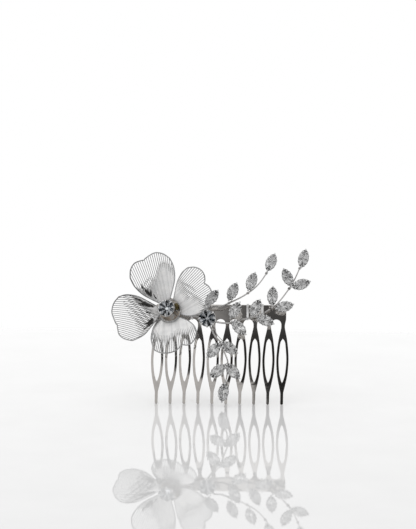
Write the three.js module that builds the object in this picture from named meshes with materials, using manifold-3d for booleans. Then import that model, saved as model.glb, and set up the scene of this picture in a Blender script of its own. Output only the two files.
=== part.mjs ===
// A decorative hair comb, in millimetres. +Z is up, the comb lies along X and its decorated front
// faces -Y. It stands on its tooth tips. The comb is one stamped and bent plate. A four-petal flower
// and three sprigs of claw-set stones are bound to its bar with wire.
import * as THREE from "three";
import { mergeVertices } from "three/addons/utils/BufferGeometryUtils.js";
import Module from "manifold-3d";

// ---- comb plate ----
const TEETH = 10;
const TOOTH_PITCH = 5.45;
const PLATE_THICKNESS = 0.9;
const TIP_HALF_WIDTH = 0.57;
const NECK_HALF_WIDTH = 0.63;
const NECK_TOP = 30.25;
const ARCH_RADIUS = TOOTH_PITCH / 2 - NECK_HALF_WIDTH; // of the bar's edge between two necks
const ARCH_SPANS = 8;
const BAR_TOP = 37.6;
const BAR_OVERHANG = 1.15; // from the centre line of the outermost tooth to the end of the bar
const BAR_CORNER = 0.7;
const BAR_SPANS = 18; // parts that the bar's long top edge is divided into
const BAR_FOOT = 32.25; // height of the lowest point of the bar's ends
const BEND_SLOPE = 0.18; // the plate leans back by slope * height + curve * height^2
const BEND_CURVE = 0.0026;
const TIP_STEPS = 3; // straight parts in each half of a tooth's rounded tip
const TOOTH_SPANS = 11; // straight parts in the rest of a tooth's side
const EYE_SPANS = 9;
// Half width of a tooth, and of the eye stamped through it, at some heights.
const TOOTH_SIDE = [
  [TIP_HALF_WIDTH, 4.6],
  [1.37, 8.3],
  [2.0, 12],
  [2.28, 16.7],
  [2.05, 21],
  [1.5, 25],
  [1.0, 27.3],
  [NECK_HALF_WIDTH, 29.2],
];
const EYE_SIDE = [
  [0, 8.4],
  [0.5, 9.4],
  [1.15, 12],
  [1.53, 16.7],
  [1.25, 21],
  [0.85, 23.8],
  [0, 25],
];

// ---- flower ----
const FLOWER_CENTRE = [-19.8, 7.3, 35.7];
const FLOWER_TURN = 12; // degrees that the flower looks to the left
const FLOWER_RAISE = 20; // degrees that it looks up
const PETAL_THICKNESS = 0.5;
const PETAL_SEAT = 0.35; // height of the petals above the centre of their base cup
const PETAL_CURL = 1.3; // how far a petal's long edges curl forward
const PETAL_HALF_WIDTH = 9;
const PETAL_COLUMNS = 12;
const PETAL_ROWS = 8;
// One half of the petal outline as [along, across], for a petal whose lobes reach 19.6 mm.
const PETAL_REACH = 19.6;
const PETAL_EDGE = [
  [2.3, 1.35],
  [4, 2.6],
  [6, 4.6],
  [9, 7.3],
  [12.5, 8.9],
  [15.5, 9.0],
];
// The same edge where the petal is narrower, a little fuller, and full, close to its base.
const PETAL_NARROW_EDGE = [
  [2.3, 1.35],
  [4.3, 1.6],
  [6.4, 3.4],
  [8.7, 5.6],
  [11.6, 7.9],
  [15.5, 9.0],
];
const PETAL_ROUND_EDGE = [
  [2.3, 1.35],
  [2.8, 3.4],
  [4.6, 5.6],
  [7.4, 7.7],
  [10.8, 8.8],
  [15.5, 9.0],
];
const PETAL_FULL_EDGE = [
  [2.3, 1.35],
  [2.2, 4.3],
  [3.6, 6.3],
  [6.6, 7.9],
  [10.4, 8.9],
  [15.5, 9.0],
];
const PETAL_LOBE = [
  [15.5, 9.0],
  [18, 7.4],
  [19.6, 4.9],
  [19.7, 2.3],
];
// Direction of the notch from the flower's centre in degrees and its distance. Then, for the half on
// each side of it, the edge, the reach of the lobe and its share of the full width. Then rise and
// twist.
const PETALS = [
  {
    name: "petal_left",
    turn: 204,
    notch: 19.4,
    edges: [PETAL_EDGE, PETAL_NARROW_EDGE],
    reach: [20.2, 19.9],
    width: [1.17, 0.95],
    rise: 0.42,
    twist: 1.5,
  },
  {
    name: "petal_top",
    turn: 118.5,
    notch: 19.3,
    edges: [PETAL_EDGE, PETAL_EDGE],
    reach: [21.6, 21.3],
    width: [1.04, 0.9],
    rise: 0.3,
    twist: 0.5,
  },
  {
    name: "petal_right",
    turn: 34.5,
    notch: 18.6,
    edges: [PETAL_ROUND_EDGE, PETAL_EDGE],
    reach: [18.9, 19.7],
    width: [1.03, 0.92],
    rise: 0.38,
    twist: 1.0,
  },
  {
    name: "petal_bottom",
    turn: -61,
    notch: 18.3,
    edges: [PETAL_FULL_EDGE, PETAL_EDGE],
    reach: [17.4, 17.3],
    width: [1.16, 0.8],
    rise: 0.3,
    twist: -1.6,
  },
];
const BASE_RADIUS = 4.8;
const BASE_SLOPE = 0.22; // rise of the base cup's face per millimetre of radius
const BASE_THICKNESS = 0.6;
const BASE_FOOT_RADIUS = 1.6;
const BASE_POST_RADIUS = 1.3;
const BASE_SIDES = 20;
const POST_GAP = 0.3; // between the post and the setting that it carries
const FLOWER_STONE_HEIGHT = 5.0; // of the stone's girdle above the flower's centre

// ---- stones and their settings ----
// Sizes of a setting. The keel share is how far its stone's lower edge stops short of its ends.
const LEAF = {
  halfLength: 3.9,
  halfWidth: 2.05,
  depth: 2.4,
  stations: 20,
  keelShare: 0.62,
  pointed: true,
};
const ROUND = {
  halfLength: 3.35,
  halfWidth: 3.35,
  depth: 3.3,
  stations: 16,
  keelShare: 0.9,
  pointed: false,
};
const SEAT_WALL = 0.2; // thickness of a setting's rim
const SEAT_GAP = 0.1; // between the rim and the stone
const RIM_DROP = 0.3; // from the plane of the stone's girdle down to the rim
const SLOT_DROP = 0.15; // from the same plane down to the lowest point between two claws
const CLAW_RISE = 0.45; // from the same plane up to a claw's tip
const SEAT_FLOOR = 0.5; // thickness of a setting's floor
const STONE_SIDES = 12;
const GIRDLE_HALF_HEIGHT = 0.1;
const STONE_CLEARANCE = 0.45; // between a stone's keel and the floor of its setting
const CROWN_BASE = 0.25; // a stone's table is this much, and a share of its width, above its girdle
const CROWN_SHARE = 0.26;
const JOIN_STONE = [-4.6, 0.8, 33.8];
const FACING = new THREE.Vector3(0, -0.97, 0.25).normalize();

// ---- sprigs ----
const STEM_RADIUS = 0.35;
const STALK_RADIUS = 0.28;
const STEM_SIDES = 6;
const SOLDER_GAP = 0.35; // between a stalk and the setting that it carries
const SOLDER_INSET = 1.6; // from the base end of a leaf to its stalk
// Each leaf is [x, y, z of its base, heading in degrees from +X towards +Z, degrees leaning back].
const SPRIGS = [
  {
    name: "sprig_upper",
    stem: [
      [-11.6, 8.1, 36.2],
      [-7.5, 7.7, 36.5],
      [-4.5, 6.7, 36.9],
      [-1.8, 5.8, 37.7],
      [1.0, 5.6, 37.9],
      [4.9, 6.3, 39.5],
      [8.7, 7.4, 41.3],
      [12.5, 9.0, 43.6],
      [15.7, 10.8, 46.5],
      [18.6, 13.2, 50.6],
      [19.4, 14.2, 52.5],
    ],
    leaves: [
      [-5.3, 2.5, 38.5, 51, 8],
      [3.6, 4.0, 40.2, 66, 7],
      [11.1, 6.3, 44.0, 68, 19],
      [18.5, 10.2, 51.1, 66, 20],
    ],
  },
  {
    name: "sprig_middle",
    stem: [
      [-11.6, 7.7, 34.9],
      [-6.5, 7.3, 33.6],
      [-1.4, 6.0, 31.5],
      [4.2, 5.6, 31.1],
      [7.9, 6.0, 32.3],
      [13.5, 6.9, 33.3],
      [16.6, 7.3, 34.5],
      [21.3, 8.4, 37.4],
      [23.7, 9.9, 39.6],
      [27.4, 13.2, 44.2],
      [29.3, 14.4, 47.4],
      [31.3, 15.5, 51.9],
      [32.0, 16.0, 54.0],
    ],
    leaves: [
      [4.3, 2.5, 33.5, 61, -13],
      [5.0, 1.5, 32.7, -41, -21],
      [12.4, 2.6, 34.2, 63, -6],
      [14.2, 3.0, 34.4, -22, -5],
      [20.5, 5.0, 38.2, 87, 19],
      [21.7, 5.0, 37.0, 12, 16],
      [28.1, 10.0, 45.1, 115, 11],
      [28.1, 10.0, 44.8, 17, 8],
      [31.7, 11.5, 52.3, 75, 19],
    ],
  },
  {
    name: "sprig_lower",
    stem: [
      [-11.6, 7.4, 33.5],
      [-8.5, 7.3, 33.2],
      [-5.4, 6.3, 32.2],
      [-3.4, 4.6, 29.6],
      [-1.7, 2.8, 26.6],
      [0.9, 1.0, 24.0],
      [1.6, 0.8, 21.7],
      [3.4, 0.8, 17.0],
      [3.2, 0.3, 14.3],
      [3.3, -0.9, 12.0],
      [2.7, -2.7, 9.0],
      [2.4, -3.0, 7.2],
    ],
    leaves: [
      [0.7, -2.2, 24.5, -133, 2],
      [0.9, -2.2, 24.8, -33, 4],
      [2.6, -2.5, 16.2, -142, -25],
      [2.9, -2.5, 16.5, -46, -9],
      [2.7, -5.7, 9.6, -100, 0],
    ],
  },
];
const STEM_STEP = 2; // length of tube between two rings
const STEM_SAMPLES = 200; // points of a stem tried for the start of a stalk

// ---- binding wire ----
const WRAP_WIDTH = 1.1;
const WRAP_THICKNESS = 0.4;
const WRAP_GAP = 0.3;
const WRAP_CORNER = 0.5; // radius of the band's outer corners
const WRAP_INNER_CORNER = 0.2;
// Where each wrap crosses the bar, and how far it reaches in front of the bar and below it.
const WRAPS = [
  { name: "wrap_flower_left", x: -21.8, front: 0, below: 0 },
  { name: "wrap_flower_right", x: -16.35, front: 0, below: 0 },
  { name: "wrap_join_left", x: -10.9, front: 1.6, below: 0 },
  { name: "wrap_join_right", x: -5.45, front: 2.8, below: 1.9 },
  { name: "wrap_sprig_inner", x: 10.9, front: 2.4, below: 0.4 },
  { name: "wrap_sprig_outer", x: 16.65, front: 2.1, below: 0 },
];

const METAL = { color: 0xb9b6b2, roughness: 0.28, metalness: 1 };
const DARK_METAL = { color: 0x6f6a64, roughness: 0.35, metalness: 1 };
const BRASS = { color: 0x8b7552, roughness: 0.4, metalness: 1 };
const CRYSTAL = { color: 0xdfe3e6, roughness: 0.05, metalness: 0 };

const comb = new THREE.Group();
const wasm = await Module();
wasm.setup();

function addMesh(parent, name, geometry, finish) {
  const mesh = new THREE.Mesh(geometry, new THREE.MeshStandardMaterial(finish));
  mesh.name = name;
  parent.add(mesh);
  return mesh;
}

function meshGeometry(vertices, triangles) {
  const geometry = new THREE.BufferGeometry().setFromPoints(vertices);
  geometry.setIndex(triangles);
  return geometry;
}

function solidFrom(geometry) {
  const bare = new THREE.BufferGeometry();
  bare.setAttribute("position", geometry.getAttribute("position"));
  bare.setIndex(geometry.index);
  const merged = mergeVertices(bare, 1e-4);
  const vertProperties = merged.getAttribute("position").array;
  const triVerts = new Uint32Array(merged.index.array);
  return new wasm.Manifold(new wasm.Mesh({ numProp: 3, vertProperties, triVerts }));
}

function geometryFrom(solid) {
  const mesh = solid.getMesh();
  const geometry = new THREE.BufferGeometry();
  geometry.setAttribute("position", new THREE.BufferAttribute(mesh.vertProperties, 3));
  geometry.setIndex(new THREE.BufferAttribute(mesh.triVerts, 1));
  return geometry;
}

// Joins closed rings of equal length into one solid: a skin between the rings and a flat cap at
// each end. The rings run anticlockwise seen from the end that the last one is at.
function loft(rings) {
  const count = rings[0].length;
  const triangles = [];
  for (let r = 0; r < rings.length - 1; r++) {
    for (let i = 0; i < count; i++) {
      const a = r * count + i;
      const b = r * count + ((i + 1) % count);
      triangles.push(a, b, a + count, b, b + count, a + count);
    }
  }
  const last = (rings.length - 1) * count;
  for (let i = 1; i < count - 1; i++) {
    triangles.push(0, i + 1, i);
    triangles.push(last, last + i, last + i + 1);
  }
  return meshGeometry(rings.flat(), triangles);
}

// ---- comb plate ----

function backOf(height) {
  return BEND_SLOPE * height + BEND_CURVE * height * height;
}

function toothX(index) {
  return (index - (TEETH - 1) / 2) * TOOTH_PITCH;
}

function splineThrough(points) {
  return new THREE.SplineCurve(points.map(([x, y]) => new THREE.Vector2(x, y)));
}

// One side of a tooth from its tip to the top of its neck, as distances from its centre line.
function toothSide() {
  const flare = splineThrough(TOOTH_SIDE).getPoints(TOOTH_SPANS);
  const firstAngle = Math.PI / (2 * TIP_STEPS + 2);
  const round = [];
  for (let step = 1; step <= TIP_STEPS; step++) {
    const angle = step * firstAngle;
    const rise = Math.cos(firstAngle) - Math.cos(angle);
    round.push(new THREE.Vector2(TIP_HALF_WIDTH * Math.sin(angle), TIP_HALF_WIDTH * rise));
  }
  return [...round, ...flare, new THREE.Vector2(NECK_HALF_WIDTH, NECK_TOP)];
}

// The round arch over the gap to the right of the tooth at x.
function archPoints(x) {
  const centre = x + TOOTH_PITCH / 2;
  const points = [];
  for (let i = 1; i < ARCH_SPANS; i++) {
    const angle = Math.PI * (1 - i / ARCH_SPANS);
    const aside = ARCH_RADIUS * Math.cos(angle);
    points.push(new THREE.Vector2(centre + aside, NECK_TOP + ARCH_RADIUS * Math.sin(angle)));
  }
  return points;
}

// The ends and the top edge of the bar, from right to left.
function barEdge() {
  const end = toothX(TEETH - 1) + BAR_OVERHANG;
  const cut = BAR_CORNER * (1 - Math.SQRT1_2);
  const rightEnd = [
    new THREE.Vector2(end, BAR_FOOT),
    new THREE.Vector2(end, BAR_TOP - BAR_CORNER),
    new THREE.Vector2(end - cut, BAR_TOP - cut),
  ];
  const top = [];
  for (let i = 0; i <= BAR_SPANS; i++) {
    top.push(new THREE.Vector2((1 - (2 * i) / BAR_SPANS) * (end - BAR_CORNER), BAR_TOP));
  }
  const leftEnd = rightEnd.map((point) => new THREE.Vector2(-point.x, point.y)).reverse();
  return [...rightEnd, ...top, ...leftEnd];
}

function eyePath(x) {
  const side = splineThrough(EYE_SIDE).getPoints(EYE_SPANS);
  const right = side.map((p) => new THREE.Vector2(x + p.x, p.y));
  const left = side.slice(1, -1).map((p) => new THREE.Vector2(x - p.x, p.y));
  return new THREE.Path([...right, ...left.reverse()]);
}

function combGeometry() {
  const side = toothSide();
  const outline = [];
  for (let i = 0; i < TEETH; i++) {
    const x = toothX(i);
    outline.push(...[...side].reverse().map((p) => new THREE.Vector2(x - p.x, p.y)));
    outline.push(...side.map((p) => new THREE.Vector2(x + p.x, p.y)));
    if (i < TEETH - 1) outline.push(...archPoints(x));
  }
  outline.push(...barEdge());
  const shape = new THREE.Shape(outline);
  for (let i = 0; i < TEETH; i++) shape.holes.push(eyePath(toothX(i)));
  const flat = new THREE.ExtrudeGeometry(shape, { depth: PLATE_THICKNESS, bevelEnabled: false });
  const place = flat.getAttribute("position");
  for (let i = 0; i < place.count; i++) {
    const height = place.getY(i);
    const depth = backOf(height) + PLATE_THICKNESS / 2 - place.getZ(i);
    place.setXYZ(i, place.getX(i), depth, height);
  }
  return flat;
}

// ---- stones and settings ----

// A point on the outline of an oval or pointed stone. The station runs from 0 to 1 round it.
function outlinePoint(kind, halfLength, halfWidth, station, height) {
  const turn = 2 * Math.PI * station;
  if (!kind.pointed) {
    return new THREE.Vector3(halfLength * Math.cos(turn), halfWidth * Math.sin(turn), height);
  }
  const radius = (halfLength ** 2 + halfWidth ** 2) / (2 * halfWidth);
  const spread = Math.asin(halfLength / radius);
  const upper = station < 0.5;
  const share = upper ? station * 2 : station * 2 - 1;
  const angle = spread * (1 - 2 * share);
  const x = radius * Math.sin(angle);
  const y = radius * Math.cos(angle) - (radius - halfWidth);
  return new THREE.Vector3(upper ? x : -x, upper ? y : -y, height);
}

function outlineRing(kind, shrink, height, count = kind.stations, offset = 0) {
  const ring = [];
  for (let i = 0; i < count; i++) {
    const station = ((i + offset) / count) % 1;
    const { halfLength, halfWidth } = kind;
    ring.push(outlinePoint(kind, halfLength - shrink[0], halfWidth - shrink[1], station, height));
  }
  return ring;
}

// A cup with a pocket for the stone. Every other station of its rim stands up as a claw.
// Its foot and its floor are smaller than its rim by a share of its length and width.
function settingGeometry(kind) {
  const { halfLength, halfWidth, depth } = kind;
  const outerRim = outlineRing(kind, [0, 0], -RIM_DROP);
  const top = outlineRing(kind, [SEAT_WALL / 2, SEAT_WALL / 2], -SLOT_DROP);
  top.forEach((point, i) => {
    if (i % 2 === 0) point.z = CLAW_RISE;
  });
  const innerRim = outlineRing(kind, [SEAT_WALL, SEAT_WALL], -RIM_DROP);
  const foot = outlineRing(kind, [0.34 * halfLength, 0.42 * halfWidth], -depth);
  const floor = outlineRing(kind, [0.45 * halfLength, 0.6 * halfWidth], SEAT_FLOOR - depth);
  return loft([foot, outerRim, top, innerRim, floor]);
}

// A faceted stone: keel, lower and upper girdle, crown facets and table. The girdle's corners
// lie halfway between those of the keel and the table.
function stoneGeometry(kind) {
  const { halfLength, halfWidth, depth, keelShare } = kind;
  const inset = SEAT_WALL + SEAT_GAP;
  const keelHeight = SEAT_FLOOR + STONE_CLEARANCE - depth;
  const keelInset = [keelShare * halfLength, 0.9 * halfWidth];
  const keel = outlineRing(kind, keelInset, keelHeight, STONE_SIDES);
  const lower = outlineRing(kind, [inset, inset], -GIRDLE_HALF_HEIGHT, STONE_SIDES, 0.5);
  const upper = outlineRing(kind, [inset, inset], GIRDLE_HALF_HEIGHT, STONE_SIDES, 0.5);
  const tableInset = [0.42 * halfLength, 0.45 * halfWidth];
  const table = outlineRing(kind, tableInset, CROWN_SHARE * halfWidth + CROWN_BASE, STONE_SIDES);
  return loft([keel, lower, upper, table]);
}

function addStone(parent, name, kind) {
  addMesh(parent, `${name}_setting`, settingGeometry(kind), METAL);
  addMesh(parent, `${name}_stone`, stoneGeometry(kind), CRYSTAL);
}

// A group whose X runs along the given direction and whose Z faces the viewer as nearly as it can.
function facingGroup(centre, along) {
  const x = along.clone().normalize();
  const z = FACING.clone().addScaledVector(x, -FACING.dot(x)).normalize();
  const y = new THREE.Vector3().crossVectors(z, x);
  const group = new THREE.Group();
  group.quaternion.setFromRotationMatrix(new THREE.Matrix4().makeBasis(x, y, z));
  group.position.copy(centre);
  comb.add(group);
  return group;
}

// ---- flower ----

// A point on a petal in the flower's own frame. The column runs across it from -1 to 1 and the row
// runs out from its base at 0 to its rim at 1. The patch blends the long edge into the lobe.
function petalPoint(petal, edges, lobe, column, row) {
  const side = column < 0 ? 0 : 1;
  const across = Math.abs(column);
  const rim = lobe.getPoint(1 - across);
  const long = edges[side].getPoint(row);
  const [base] = PETAL_EDGE;
  const [corner] = PETAL_LOBE;
  const out = mix(base[0], rim.x, row) + across * (long.x - mix(base[0], corner[0], row));
  const reach = out * mix(1, petal.reach[side] / PETAL_REACH, row);
  const wide = row * rim.y + across * (long.y - row * corner[1]);
  const aside = wide * petal.width[side] * (side === 0 ? -1 : 1);
  const share = aside / PETAL_HALF_WIDTH;
  const bowl = PETAL_CURL * share * share + petal.twist * share * row;
  const height = PETAL_SEAT + petal.rise * reach + bowl;
  const turn = THREE.MathUtils.degToRad(petal.turn);
  return new THREE.Vector3(
    reach * Math.cos(turn) - aside * Math.sin(turn),
    reach * Math.sin(turn) + aside * Math.cos(turn),
    height,
  );
}

function mix(a, b, share) {
  return a + (b - a) * share;
}

// A thin sheet given by a point for each column and row, thickened along Z.
function sheetGeometry(columns, rows, thickness, pointAt) {
  const wide = columns + 1;
  const vertices = [];
  for (const lift of [-thickness / 2, thickness / 2]) {
    for (let r = 0; r <= rows; r++) {
      for (let c = 0; c <= columns; c++) {
        const point = pointAt(c / columns, r / rows);
        point.z += lift;
        vertices.push(point);
      }
    }
  }
  const layer = wide * (rows + 1);
  const triangles = [];
  const quad = (a, b, c, d) => triangles.push(a, b, c, a, c, d);
  for (let r = 0; r < rows; r++) {
    for (let c = 0; c < columns; c++) {
      const a = r * wide + c;
      quad(a, a + 1, a + wide + 1, a + wide);
      quad(layer + a, layer + a + wide, layer + a + wide + 1, layer + a + 1);
    }
  }
  const edge = (a, b) => quad(b, a, a + layer, b + layer);
  for (let c = 0; c < columns; c++) {
    edge(c, c + 1);
    edge(rows * wide + c + 1, rows * wide + c);
  }
  for (let r = 0; r < rows; r++) {
    edge((r + 1) * wide, r * wide);
    edge(r * wide + columns, (r + 1) * wide + columns);
  }
  return meshGeometry(vertices, triangles);
}

function petalGeometry(petal) {
  const edges = petal.edges.map(splineThrough);
  const lobe = splineThrough([...PETAL_LOBE, [petal.notch, 0]]);
  return sheetGeometry(PETAL_COLUMNS, PETAL_ROWS, PETAL_THICKNESS, (column, row) =>
    petalPoint(petal, edges, lobe, 2 * column - 1, row),
  );
}

// A shallow cup with a post in its middle that carries the setting of the flower's stone.
function flowerBaseGeometry() {
  const face = (radius) => BASE_SLOPE * (radius - 1);
  const postTop = FLOWER_STONE_HEIGHT - ROUND.depth - POST_GAP;
  const rim = face(BASE_RADIUS);
  const profile = [
    [0, face(0) - BASE_THICKNESS],
    [BASE_FOOT_RADIUS, face(BASE_FOOT_RADIUS) - BASE_THICKNESS],
    [BASE_RADIUS, rim - BASE_THICKNESS / 2],
    [BASE_RADIUS, rim],
    [BASE_POST_RADIUS, face(BASE_POST_RADIUS)],
    [BASE_POST_RADIUS, postTop],
    [0, postTop],
  ];
  const points = profile.map(([radius, height]) => new THREE.Vector2(radius, height));
  const lathe = new THREE.LatheGeometry(points, BASE_SIDES);
  lathe.rotateX(Math.PI / 2);
  return lathe;
}

function addFlower() {
  const flower = new THREE.Group();
  const turn = THREE.MathUtils.degToRad(FLOWER_TURN);
  const raise = THREE.MathUtils.degToRad(FLOWER_RAISE);
  const facing = new THREE.Vector3(
    -Math.sin(turn) * Math.cos(raise),
    -Math.cos(turn) * Math.cos(raise),
    Math.sin(raise),
  );
  const right = new THREE.Vector3(Math.cos(turn), -Math.sin(turn), 0);
  const up = new THREE.Vector3().crossVectors(facing, right);
  flower.quaternion.setFromRotationMatrix(new THREE.Matrix4().makeBasis(right, up, facing));
  flower.position.set(...FLOWER_CENTRE);
  comb.add(flower);
  addMesh(flower, "flower_base", flowerBaseGeometry(), BRASS);
  for (const petal of PETALS) addMesh(flower, petal.name, petalGeometry(petal), METAL);
  const centre = new THREE.Group();
  centre.position.z = FLOWER_STONE_HEIGHT;
  flower.add(centre);
  addStone(centre, "flower", ROUND);
}

// ---- sprigs ----

function tube(curve, radius) {
  const section = new THREE.Shape();
  for (let i = 0; i < STEM_SIDES; i++) {
    const angle = (2 * Math.PI * i) / STEM_SIDES;
    const x = radius * Math.cos(angle);
    const y = radius * Math.sin(angle);
    if (i === 0) section.moveTo(x, y);
    else section.lineTo(x, y);
  }
  const steps = Math.max(2, Math.round(curve.getLength() / STEM_STEP));
  return new THREE.ExtrudeGeometry(section, { steps, extrudePath: curve, bevelEnabled: false });
}

function nearestOn(curve, point) {
  const samples = curve.getSpacedPoints(STEM_SAMPLES);
  return samples.reduce((best, p) =>
    p.distanceTo(point) < best.distanceTo(point) ? p : best,
  );
}

function leafDirection([, , , heading, back]) {
  const turn = THREE.MathUtils.degToRad(heading);
  const lean = THREE.MathUtils.degToRad(back);
  return new THREE.Vector3(
    Math.cos(turn) * Math.cos(lean),
    Math.sin(lean),
    Math.sin(turn) * Math.cos(lean),
  );
}

// The point behind a setting, near its base end, where its stalk is soldered to it.
function solderPoint(group) {
  const drop = LEAF.depth + STALK_RADIUS + SOLDER_GAP;
  return new THREE.Vector3(SOLDER_INSET - LEAF.halfLength, 0, -drop).applyMatrix4(group.matrix);
}

function addSprig(sprig) {
  const curve = new THREE.CatmullRomCurve3(sprig.stem.map((p) => new THREE.Vector3(...p)));
  let stem = solidFrom(tube(curve, STEM_RADIUS));
  sprig.leaves.forEach((leaf, i) => {
    const along = leafDirection(leaf);
    const base = new THREE.Vector3(leaf[0], leaf[1], leaf[2]);
    const group = facingGroup(base.addScaledVector(along, LEAF.halfLength), along);
    addStone(group, `${sprig.name}_leaf_${i + 1}`, LEAF);
    group.updateMatrix();
    const end = solderPoint(group);
    const stalk = new THREE.LineCurve3(nearestOn(curve, end), end);
    if (stalk.getLength() > STEM_RADIUS) stem = stem.add(solidFrom(tube(stalk, STALK_RADIUS)));
  });
  addMesh(comb, `${sprig.name}_stem`, geometryFrom(stem), METAL);
}

// ---- binding wire ----

// A rounded rectangle whose corners have the given radius.
function roundedBox(shape, left, bottom, right, top, radius) {
  shape.moveTo(left + radius, bottom);
  shape.lineTo(right - radius, bottom);
  shape.absarc(right - radius, bottom + radius, radius, -Math.PI / 2, 0);
  shape.absarc(right - radius, top - radius, radius, 0, Math.PI / 2);
  shape.absarc(left + radius, top - radius, radius, Math.PI / 2, Math.PI);
  shape.absarc(left + radius, bottom + radius, radius, Math.PI, Math.PI * 1.5);
  shape.closePath();
  return shape;
}

// A band of wound wire round the bar. It is drawn square to the bar and turned to its slope.
function addWrap(wrap) {
  const middle = (NECK_TOP + ARCH_RADIUS + BAR_TOP) / 2;
  const half = BAR_TOP - middle;
  const slope = Math.atan(BEND_SLOPE + 2 * BEND_CURVE * middle);
  const hole = [
    -PLATE_THICKNESS / 2 - WRAP_GAP - wrap.front,
    -half / Math.cos(slope) - WRAP_GAP - wrap.below,
    PLATE_THICKNESS / 2 + WRAP_GAP,
    half / Math.cos(slope) + WRAP_GAP,
  ];
  const grown = [-1, -1, 1, 1].map((sign, i) => hole[i] + sign * WRAP_THICKNESS);
  const band = roundedBox(new THREE.Shape(), ...grown, WRAP_CORNER);
  band.holes.push(roundedBox(new THREE.Path(), ...hole, WRAP_INNER_CORNER));
  const flat = new THREE.ExtrudeGeometry(band, {
    depth: WRAP_WIDTH,
    bevelEnabled: false,
    curveSegments: 2,
  });
  flat.translate(0, 0, -WRAP_WIDTH / 2);
  flat.applyMatrix4(
    new THREE.Matrix4().makeBasis(
      new THREE.Vector3(0, 1, 0),
      new THREE.Vector3(0, 0, 1),
      new THREE.Vector3(1, 0, 0),
    ),
  );
  const mesh = addMesh(comb, wrap.name, flat, METAL);
  mesh.rotation.x = -slope;
  mesh.position.set(wrap.x, backOf(middle), middle);
}

addMesh(comb, "comb_plate", combGeometry(), DARK_METAL);
addFlower();
const join = facingGroup(new THREE.Vector3(...JOIN_STONE), new THREE.Vector3(1, 0, 0));
addStone(join, "join", ROUND);
for (const sprig of SPRIGS) addSprig(sprig);
for (const wrap of WRAPS) addWrap(wrap);

// The origin is under the middle of the whole object.
const box = new THREE.Box3().setFromObject(comb, true);
const middle = box.getCenter(new THREE.Vector3());
comb.position.set(-middle.x, -middle.y, -box.min.z);

export default comb;
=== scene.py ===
"""A decorative hair comb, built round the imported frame.

Sizes are in millimetres, and each piece is scaled to metres when it is made. The comb's own
coordinates have x = 0 in the middle of its bar, y = 0 and z = 0 at its tooth tips.
"""

import math
import random

import bmesh
import bpy
from mathutils import Matrix, Vector


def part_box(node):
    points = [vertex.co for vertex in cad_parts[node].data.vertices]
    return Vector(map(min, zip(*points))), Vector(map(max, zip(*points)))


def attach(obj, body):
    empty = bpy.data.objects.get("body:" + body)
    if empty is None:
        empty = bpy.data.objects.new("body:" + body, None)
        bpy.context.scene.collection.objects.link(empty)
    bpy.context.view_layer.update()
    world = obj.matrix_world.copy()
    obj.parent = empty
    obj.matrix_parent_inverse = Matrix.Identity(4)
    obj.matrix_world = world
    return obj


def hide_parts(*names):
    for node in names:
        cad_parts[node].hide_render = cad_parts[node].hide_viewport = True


random.seed(7)
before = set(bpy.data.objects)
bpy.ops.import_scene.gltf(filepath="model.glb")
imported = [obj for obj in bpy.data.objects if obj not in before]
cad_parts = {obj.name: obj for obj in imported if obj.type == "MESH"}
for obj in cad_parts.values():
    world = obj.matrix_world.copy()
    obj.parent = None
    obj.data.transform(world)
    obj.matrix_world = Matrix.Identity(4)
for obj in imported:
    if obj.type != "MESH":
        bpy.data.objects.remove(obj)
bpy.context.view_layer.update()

MM = 0.001

# ---- comb plate ----
TEETH = 10
TOOTH_PITCH = 5.45
PLATE_THICKNESS = 0.9
EDGE_ROUND = 0.06
TIP_HALF_WIDTH = 0.6
NECK_HALF_WIDTH = 0.72
NECK_TOP = 30.25
ARCH_RADIUS = TOOTH_PITCH / 2 - NECK_HALF_WIDTH
BAR_TOP = 37.6
BAR_FOOT = 32.25
BAR_OVERHANG = 1.15
BAR_CORNER = 0.7
BEND_SLOPE = 0.18
BEND_CURVE = 0.0026
TOOTH_DOME = 0.0024  # millimetres back for each square millimetre away from the tooth's middle
PLATE_LEAN = 0.012  # millimetres to the right for each millimetre of height
BEND_STEP = 1.4  # height of the strips that the plate is bent in
BEND_SNAP = 0.01  # points this near to a strip's edge count as on it
PLATE_WELD = 0.002
# Half the width of a tooth, and below it of its eye, at heights above the tips.
TOOTH_SIDE = [
    (TIP_HALF_WIDTH, 4.6), (1.45, 8.3), (2.12, 12), (2.42, 16.7),
    (2.19, 21), (1.63, 25), (1.12, 27.3), (NECK_HALF_WIDTH, 29.2),
]
EYE_SIDE = [(0, 8.4), (0.46, 9.4), (1.1, 12), (1.48, 16.7), (1.2, 21), (0.8, 23.8), (0, 25)]
TIP_STEPS = 7
SIDE_STEPS = 44
EYE_STEPS = 30
ARCH_STEPS = 16
CORNER_STEPS = 5

# ---- flower ----
FLOWER_CENTRE = (-19.8, 7.3, 35.7)
FLOWER_TURN = 12
FLOWER_RAISE = 20
PETAL_SEAT = 0.35  # height of a petal's base over the flower's centre
PETAL_CURL = 1.3
PETAL_HALF_WIDTH = 9
PETAL_REACH = 19.6
# The side of a petal seen face on, from its base to the corner of its lobe, as reach from the
# flower's centre and distance aside. The other three are narrower, rounder and full at the base.
PETAL_EDGE = [(2.3, 1.35), (4, 2.6), (6, 4.6), (9, 7.3), (12.5, 8.9), (15.5, 9.0)]
NARROW_EDGE = [(2.3, 1.35), (4.3, 1.6), (6.4, 3.4), (8.7, 5.6), (11.6, 7.9), (15.5, 9.0)]
ROUND_EDGE = [(2.3, 1.35), (2.8, 3.4), (4.6, 5.6), (7.4, 7.7), (10.8, 8.8), (15.5, 9.0)]
FULL_EDGE = [(2.3, 1.35), (2.2, 4.3), (3.6, 6.3), (6.6, 7.9), (10.4, 8.9), (15.5, 9.0)]
PETAL_LOBE = [(15.5, 9.0), (18, 7.4), (19.6, 4.9), (19.7, 2.3)]
PETAL_STEPS = 26
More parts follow.
